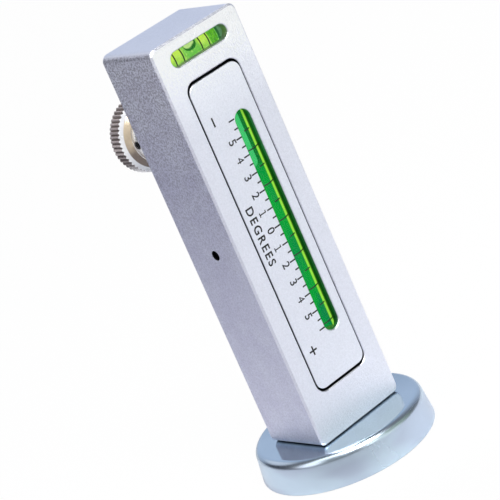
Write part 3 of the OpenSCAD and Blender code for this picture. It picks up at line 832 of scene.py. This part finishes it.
def long_liquid_colour(finish):
    """Green, with teal patches drawn out along the vial, and darkened by painted shade at the bubble's
    end.
    """
    z = finish.axis("Z")
    patches = finish.noise(LONG_PATCH, 3.0, 0.6, finish.stretched(1.0, 1.0, 0.22))
    teal = finish.product(finish.span(patches, 0.45, 0.62, smooth=True),
                          finish.span(z, *LONG_TEAL_Z, 0.85, 0.3))
    # Painted shade at the bubble's end
    top = finish.span(z, *LONG_TOP_Z, 0.0, 0.5)
    return finish.mix(top, finish.mix(teal, LIQUID_GREEN, LIQUID_TEAL), BLACK)


def cross_liquid_colour(finish):
    """Yellow-green above, where a painted highlight lies, and green below, with painted glints, greener
    round the bubble and darkened by painted shade along the bottom.
    """
    z = finish.axis("Z")
    swirl = finish.mottle(finish.noise(CROSS_SWIRL, 3.0, 0.6), -0.35, 0.35)
    calm = finish.within(finish.axis("X"), CALM_X, CALM_HALF, CALM_SOFT)
    # Painted highlight above, weak round the bubble
    share = finish.product(finish.math("ADD", finish.span(z, *CROSS_YELLOW_Z), swirl, clamp=True),
                           finish.span(calm, 0.0, 1.0, 1.0, 0.15))
    colour = finish.mix(share, CROSS_GREEN, CROSS_YELLOW)
    # Painted glints
    sparks = finish.span(finish.noise(CROSS_SPARKLE, 2.0, 0.6), 0.52, 0.68, 0.0, 0.7)
    colour = finish.mix(sparks, colour, CROSS_SPARK)
    # Painted shade along the bottom
    deep = finish.span(z, *CROSS_DEEP_Z, 0.8, 0.0)
    return finish.mix(deep, colour, CROSS_PAINTED_SHADE)


def air_bubble(name, middle, rim, window_side, low, high):
    """A bubble in dyed liquid that gives off painted light: a painted highlight on its side toward its
    window, with a painted dark outline round that. low and high are how far its surface faces the window
    where the outline is full and where it ends."""
    finish = Finish(name, roughness=0.12, emission_strength=1.0)
    pale = finish.mix(finish.noise(BUBBLE_WISP), middle, dimmed(middle, 0.8))
    # Painted dark outline round the painted highlight, fixed toward one side of the part
    outline = finish.fade(finish.toward(window_side), low, high, smooth=True)
    # Painted light: the bubble gives off light of its own
    finish.glow(finish.mix(outline, pale, rim), 0.8)
    return finish.material


def glowing_plug(name, colour, end_x=None):
    """A plug that gives off painted light. Where end_x is given, its face there is mottled and bright and
    a band of painted shade follows behind that."""
    finish = Finish(name, roughness=0.4, emission_strength=0.8)
    spots = finish.span(finish.noise(PLUG_MOTTLE, 3.0, 0.6), 0.35, 0.65)
    shade = finish.mix(spots, colour, dimmed(colour, 0.6))
    if end_x is not None:
        into = finish.math("SUBTRACT", finish.axis("X"), end_x)
        # Painted shade in a band behind the end face
        shade = finish.mix(finish.span(into, *PLUG_BAND), CROSS_PAINTED_SHADE, shade)
        face = finish.mix(spots, PLUG_BRIGHT, PLUG_SPOT)
        shade = finish.mix(finish.span(into, *PLUG_FACE), face, shade)
    # Painted light: the plug gives off light of its own
    finish.glow(shade, 0.5)
    return finish.material


# ---------------------------------------------------------------- what each piece is made of

INK = plain("ink", (0.004, 0.004, 0.006), 0.5, grain=0.1 * MM, depth=0.002 * MM)
RING_INK = plain("ring_ink", (0.002, 0.016, 0.006), 0.4, grain=0.1 * MM, depth=0.002 * MM)

FINISHES = {
    "housing": bar_metal(),
    "scale_block": block_metal(),
    "scale_block_plug": turned_metal("plain_aluminium", (0.80, 0.81, 0.83), 0.25, 0.1 * MM),
    "cross_bore_plug": turned_metal("plug_aluminium", (0.80, 0.81, 0.83), 0.25, 0.1 * MM),
    "long_vial_tube": vial_glass("vial_tube", (0.27, 0.64, 0.05), (0.94, 1.0, 0.95),
                                 ("X", "Y", (VIAL_X, VIAL_Y)), VIAL_R, (0.38, 0.43, 0.58, 0.72)),
    "cross_vial_tube": vial_glass("cross_tube", (0.12, 0.34, 0.06), (0.98, 1.0, 0.95),
                                  ("Y", "Z", (CROSS_Y, CROSS_Z)), CROSS_R, (0.42, 0.6, 0.8, 1.0)),
    "long_vial_plugs": glowing_plug("vial_plug", (0.26, 0.42, 0.12)),
    "cross_vial_plugs": glowing_plug("cross_plug", (0.15, 0.34, 0.18), CROSS_LIQUID_HIGH.x),
    "long_vial_bubble": air_bubble("long_bubble", (0.12, 0.72, 0.32), (0.0, 0.13, 0.02),
                                   LONG_BUBBLE_SIDE, 0.25, 0.42),
    "cross_vial_bubble": air_bubble("cross_bubble", (0.78, 0.92, 0.56), (0.0, 0.14, 0.03),
                                    CROSS_BUBBLE_SIDE, 0.55, 0.72),
    "pivot_pins": turned_metal("dark_steel", (0.02, 0.02, 0.023), 0.35, 0.1 * MM),
    "block_spring": turned_metal("spring_steel", (0.55, 0.55, 0.58), 0.25, 0.3 * MM),
    "thumb_knob": knob_metal(),
    "screw_stud": plain("black_steel", (0.045, 0.045, 0.05), 0.38, metallic=0.8),
    "knob_grub_screw": plain("black_screw", (0.02, 0.02, 0.024), 0.4, metallic=0.7),
    "thrust_pad": turned_metal("brass", (0.83, 0.62, 0.28), 0.22, 0.15 * MM),
    "magnet_ring": plain("ferrite", (0.045, 0.045, 0.05), 0.62, grain=0.35 * MM, depth=0.02 * MM),
    "magnet_resin": plain("resin", (0.55, 0.53, 0.48), 0.5, grain=0.5 * MM, depth=0.02 * MM),
    "base_screw": turned_metal("zinc_screw", (0.72, 0.74, 0.77), 0.22, 0.2 * MM),
}

for node_name, material in FINISHES.items():
    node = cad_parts[node_name]
    node.data.materials.clear()
    node.data.materials.append(material)

# ---------------------------------------------------------------- the printed scale

ticks = []
for half_degree in range(-2 * SCALE_TOP, 2 * SCALE_TOP + 1):
    z = ZERO_Z + half_degree * DEGREE / 2
    length = LONG_TICK if half_degree % 2 == 0 else SHORT_TICK
    ticks.append((TICK_INNER_X - length, TICK_INNER_X, z - TICK_WIDTH / 2, z + TICK_WIDTH / 2))
print_bars("scale_ticks", ticks)

ones = []
for degree in range(-SCALE_TOP + 1, SCALE_TOP):
    z, number = ZERO_Z + degree * DEGREE, abs(degree)
    if number == 1:
        ones += figure_one(ONE_X, z)
        continue
    side = "low" if degree < 0 else "high"
    print_text(f"digit_{side}_{number}", str(number), DIGIT_SIZE, (DIGIT_X, z),
               bold=0 if number == THIN_DIGIT else DIGIT_BOLD)
print_bars("digit_ones", ones)

print_text("scale_word", "DEGREES", WORD_SIZE, (WORD_X, WORD_MIDDLE_Z), WORD_SPREAD, WORD_BOLD)

reach = SIGN_SIZE / 2
thin = SIGN_WIDTH / 2
print_bars("minus_sign", [(SIGN_X - thin, SIGN_X + thin, MINUS_Z - reach, MINUS_Z + reach)])
print_bars("plus_sign", [
    (SIGN_X - thin, SIGN_X + thin, PLUS_Z - reach, PLUS_Z + reach),
    (SIGN_X - reach, SIGN_X - thin, PLUS_Z - thin, PLUS_Z + thin),
    (SIGN_X + thin, SIGN_X + reach, PLUS_Z - thin, PLUS_Z + thin),
])

# ---------------------------------------------------------------- the magnet's cup, finely turned

HOLE_R = 2.75 * MM
SINK_R = 4.75 * MM
SINK_Z = 5.0 * MM
SINK_TOP_Z = 7.4 * MM
RESIN_WIDTH = 1.2 * MM
CUP_LIP = 0.4 * MM
CUP_ROUND = 2.0 * MM
CUP_DRAFT = 6.6
LIP_STEPS = 6
ROUND_STEPS = 24
CUP_STEPS = 256
CORNER_ANGLE = math.radians(30)


def add_cup():
    """The cup with its rounded rim, its recess for the magnet and its countersunk hole."""
    low = (CUP_HIGH.x - CUP_LIP, CUP_LIP)
    high_z = CUP_HIGH.z - CUP_ROUND
    draft = math.radians(CUP_DRAFT)
    lean = (high_z - CUP_LIP) * math.sin(draft) + CUP_ROUND - CUP_LIP
    high = (low[0] - lean / math.cos(draft), high_z)
    inside = MAGNET_HIGH.x + RESIN_WIDTH
    loop = [(inside, 0.0)] + arc(low, CUP_LIP, -90, CUP_DRAFT, LIP_STEPS)
    loop += arc(high, CUP_ROUND, CUP_DRAFT, 90, ROUND_STEPS)
    loop += [(HOLE_R, CUP_HIGH.z), (HOLE_R, SINK_TOP_Z), (SINK_R, SINK_Z), (inside, SINK_Z)]
    mesh = lathe_ring(loop, CUP_STEPS, about_z(0, 0))
    cup = make_piece("turned_cup", *mesh, "bar", "zinc_plate", plated_cup())
    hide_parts("magnet_cup")
    sharp_corners(cup)


def sharp_corners(piece):
    """Shades every edge that turns by CORNER_ANGLE or more as a corner."""
    solid = bmesh.new()
    solid.from_mesh(piece.data)
    for edge in solid.edges:
        edge.smooth = edge.calc_face_angle(0) < CORNER_ANGLE
    solid.to_mesh(piece.data)
    solid.free()


add_cup()

# ---------------------------------------------------------------- the spring behind the block's lower end


def add_spring():
    """The block's spring as a mesh of its own, copied from the CAD spring and riding on the bar. In the
    gauge the lower end of the block presses it together as it tilts.
    """
    spring = add_object("coil_spring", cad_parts["block_spring"].data.copy())
    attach(spring, "bar")
    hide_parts("block_spring")
    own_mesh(spring)


add_spring()

# ---------------------------------------------------------------- liquids, clear before a glowing depth

LIQUID_BEVEL = 0.2 * MM
LIQUID_STEPS = 96
DEPTH_INSET = 0.02 * MM
DEPTH_STEPS = 40


def half_rod(radius, low, high, place, front):
    """Vertices and faces of the half of a round bar that lies beyond a flat cut facing the angle
    front, between two places along its axis."""
    vertices = []
    for along in (low, high):
        for i in range(DEPTH_STEPS + 1):
            vertices.append(place(radius, front + math.pi * (0.5 + i / DEPTH_STEPS), along))
    end = DEPTH_STEPS + 1
    faces = [(i, end + i, end + i + 1, i + 1) for i in range(DEPTH_STEPS)]
    faces.append((DEPTH_STEPS, 2 * DEPTH_STEPS + 1, end, 0))
    faces.append(tuple(range(end)))
    faces.append(tuple(reversed(range(end, 2 * end))))
    return vertices, faces


def add_liquid(kind, low, high, radius, place, body, slot, front, depth, turn):
    """A vial's liquid without the channel that the bubble needs in the CAD model: a clear rod, and
    a half rod that looks along the angle turn for its depth. front and depth are their finishes."""
    inner = radius - LIQUID_BEVEL
    profile = [(0, low), (inner, low), (radius, low + LIQUID_BEVEL)]
    profile += [(radius, high - LIQUID_BEVEL), (inner, high), (0, high)]
    liquid = make_piece(f"{kind}_liquid", *lathe(profile, LIQUID_STEPS, place), body, slot, front)
    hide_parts(f"{kind}_vial_liquid")
    core = half_rod(radius - DEPTH_INSET, low + LIQUID_BEVEL, high - LIQUID_BEVEL, place, turn)
    make_piece(f"{kind}_liquid_depth", *core, body, slot, depth, smooth=False)


add_liquid("long", LIQUID_LOW.z, LIQUID_HIGH.z, (LIQUID_HIGH.x - LIQUID_LOW.x) / 2,
           about_z(VIAL_X, VIAL_Y), "block", "green_liquid",
           clear_liquid("green_liquid", (0.0, 0.5, 0.1)),
           dyed_depth("green_depth", long_liquid_colour), math.radians(-34))
add_liquid("cross", CROSS_LIQUID_LOW.x, CROSS_LIQUID_HIGH.x,
           (CROSS_LIQUID_HIGH.z - CROSS_LIQUID_LOW.z) / 2,
           about_x(CROSS_Y, CROSS_Z), "bar", "yellow_green_liquid",
           clear_liquid("yellow_green_liquid", (0.4, 0.7, 0.1)),
           dyed_depth("yellow_green_depth", cross_liquid_colour), math.radians(21))

# ---------------------------------------------------------------- rings printed on the vials

arcs = []
for i in range(RING_COUNT):
    z = FIRST_RING_Z + i * RING_STEP
    for middle, ring_span in ((z, LONG_RING_SPAN), (z + RING_STEP / 2, SHORT_RING_SPAN)):
        arcs.append((middle, RING_TURN - ring_span / 2, RING_TURN + ring_span / 2))
make_piece("long_vial_rings", *ink_arcs(arcs, about_z(VIAL_X, VIAL_Y), VIAL_R), "block", "vial_tube",
           RING_INK)

arcs = [(x, -CROSS_RING_SPAN / 2, CROSS_RING_SPAN / 2) for x in CROSS_RINGS_X]
make_piece("cross_vial_rings", *ink_arcs(arcs, about_x(CROSS_Y, CROSS_Z), CROSS_R), "bar", "vial_tube",
           RING_INK)

# ---------------------------------------------------------------- studio

AIM = Vector((-0.0032, 0.0, 0.0532))
CAMERA_DISTANCE = 0.5327
CAMERA_AZIMUTH = math.radians(33.56)
CAMERA_ELEVATION = math.radians(17.57)
CAMERA_ROLL = math.radians(23.82)
FIELD_OF_VIEW = math.radians(11.88)
SENSOR_WIDTH = 36
CLIP_START = 0.01

KEY_PLACE = (-0.08, -0.33, 0.58)
KEY_SIZE = 0.34
KEY_POWER = 5.4

HALF_FLOOR = 3.0
FLOOR_PALE = (0.72, 0.72, 0.73)
FLOOR_NEAR = (0.46, 0.46, 0.48)
FLOOR_DULL = (0.56, 0.56, 0.60)
FLOOR_WHITE = 0.98
# The floor's parts: dull far behind the left side, grey before the front's left, and white in
# reflections before that
BEHIND_LEFT = (-0.55, 0.83, 0)
BEHIND_RIGHT = (0.6, 1, 0)
DULL_FROM = (0.03, 0.16)
NEAR_FROM = (-0.34, -0.08)
NEAR_TO = (-0.05, -0.02)
WHITE_X = (-0.08, -0.02)
WHITE_Y = (-0.18, -0.12)

ROOM_DARK = (0.15, 0.15, 0.16)
# Each patch of the room: its direction, how many degrees it fades out and in at, and its colour
ROOM_PATCHES = [
    ((0.55, 0.78, 0.30), 70, 18, (0.53, 0.60, 0.74)),
    ((-0.56, 0.79, 0.24), 28, 10, (0.03, 0.035, 0.05)),
    ((-0.22, 0.78, 0.58), 20, 10, (0.85, 0.87, 0.93)),
    ((0.50, -0.80, 0.30), 36, 14, (0.41, 0.50, 0.39)),
    ((-0.90, 0.05, 0.40), 19, 12, (2.0, 2.0, 2.0)),
    ((-0.73, 0.07, 0.68), 14, 8, (2.0, 2.0, 2.0)),
    ((-0.45, -0.03, 0.89), 15, 9, (2.0, 2.0, 2.0)),
    ((-0.07, -0.93, 0.36), 16, 9, (1.8, 1.8, 1.8)),
    ((0.25, -0.95, 0.17), 12, 7, (1.2, 1.2, 1.2)),
    ((0.55, -0.83, 0.11), 10, 6, (1.2, 1.2, 1.2)),
]


def add_floor():
    """A wide pale floor: white to the viewer and in part of its reflections, and still darker in
    shadow."""
    mesh = bpy.data.meshes.new("floor")
    corners = [(-1, -1), (1, -1), (1, 1), (-1, 1)]
    mesh.from_pydata([(HALF_FLOOR * x, HALF_FLOOR * y, 0) for x, y in corners], [], [(0, 1, 2, 3)])
    floor = add_object("floor", mesh)
    finish = Finish("floor", roughness=0.9)
    # The object mirrors the floor, which is duller behind its left side and close to its front
    behind_left = finish.dot(finish.place, BEHIND_LEFT)
    near = finish.product(finish.span(behind_left, *NEAR_FROM, smooth=True),
                          finish.fade(finish.dot(finish.place, BEHIND_RIGHT), *NEAR_TO))
    dull = finish.span(behind_left, *DULL_FROM, smooth=True)
    finish.set(base_color=finish.mix(dull, finish.mix(near, FLOOR_PALE, FLOOR_NEAR), FLOOR_DULL))
    # A patch of the floor glows white to glossy rays only: a painted reflection in polished metal that
    # faces the front left
    light = finish.node("ShaderNodeLightPath")
    spot = finish.product(light.outputs["Is Glossy Ray"], finish.fade(finish.axis("X"), *WHITE_X),
                          finish.fade(finish.axis("Y"), *WHITE_Y))
    seen = finish.highest(light.outputs["Is Camera Ray"], light.outputs["Is Transmission Ray"], spot)
    glow = finish.node("ShaderNodeEmission")
    glow.inputs["Strength"].default_value = 1.0
    finish.output(finish.blend_shaders(finish.product(seen, FLOOR_WHITE), finish.shader.outputs[0],
                                       glow.outputs[0]))
    mesh.materials.append(finish.material)


def add_world():
    """A dark room with bright and dim patches, which the metal mirrors, and white where the viewer
    sees it."""
    world = bpy.data.worlds.new("studio")
    bpy.context.scene.world = world
    world.use_nodes = True
    room = Nodes(world.node_tree)
    direction = room.node("ShaderNodeTexCoord").outputs["Generated"]
    colour = ROOM_DARK
    for toward, wide, narrow, shade in ROOM_PATCHES:
        share = room.span(room.dot(direction, Vector(toward).normalized()),
                          math.cos(math.radians(wide)), math.cos(math.radians(narrow)), smooth=True)
        colour = room.mix(share, colour, shade)
    light = room.tree.nodes["Background"]
    room.link(colour, light.inputs["Color"])
    white = room.node("ShaderNodeBackground")
    white.inputs["Color"].default_value = (1, 1, 1, 1)
    path = room.node("ShaderNodeLightPath")
    seen = room.blend_shaders(path.outputs["Is Camera Ray"], light.outputs[0], white.outputs[0])
    room.link(seen, room.tree.nodes["World Output"].inputs["Surface"])


def add_key_lamp():
    """A square lamp above the front left, which faces the object."""
    lamp = bpy.data.lights.new("key", "AREA")
    lamp.shape = "RECTANGLE"
    lamp.size = lamp.size_y = KEY_SIZE
    lamp.energy = KEY_POWER
    box = add_object("key", lamp)
    box.location = KEY_PLACE
    box.rotation_euler = (AIM - Vector(KEY_PLACE)).to_track_quat("-Z", "Y").to_euler()


def add_camera():
    """The photograph's view: from the front left, a little above, rolled so that the bar leans."""
    forward = Vector((
        math.sin(CAMERA_AZIMUTH) * math.cos(CAMERA_ELEVATION),
        math.cos(CAMERA_AZIMUTH) * math.cos(CAMERA_ELEVATION),
        -math.sin(CAMERA_ELEVATION),
    ))
    right = forward.cross(Vector((0, 0, 1))).normalized()
    up = right.cross(forward)
    across = math.cos(CAMERA_ROLL) * right - math.sin(CAMERA_ROLL) * up
    upward = math.sin(CAMERA_ROLL) * right + math.cos(CAMERA_ROLL) * up
    lens = bpy.data.cameras.new("camera")
    lens.sensor_width = SENSOR_WIDTH
    lens.lens = SENSOR_WIDTH / 2 / math.tan(FIELD_OF_VIEW / 2)
    lens.clip_start = CLIP_START
    camera = add_object("camera", lens)
    turn = Matrix((across, upward, -forward)).transposed().to_4x4()
    camera.matrix_world = Matrix.Translation(AIM - forward * CAMERA_DISTANCE) @ turn
    bpy.context.scene.camera = camera


add_floor()
add_world()
add_key_lamp()
add_camera()

bpy.context.scene.view_settings.view_transform = "Standard"
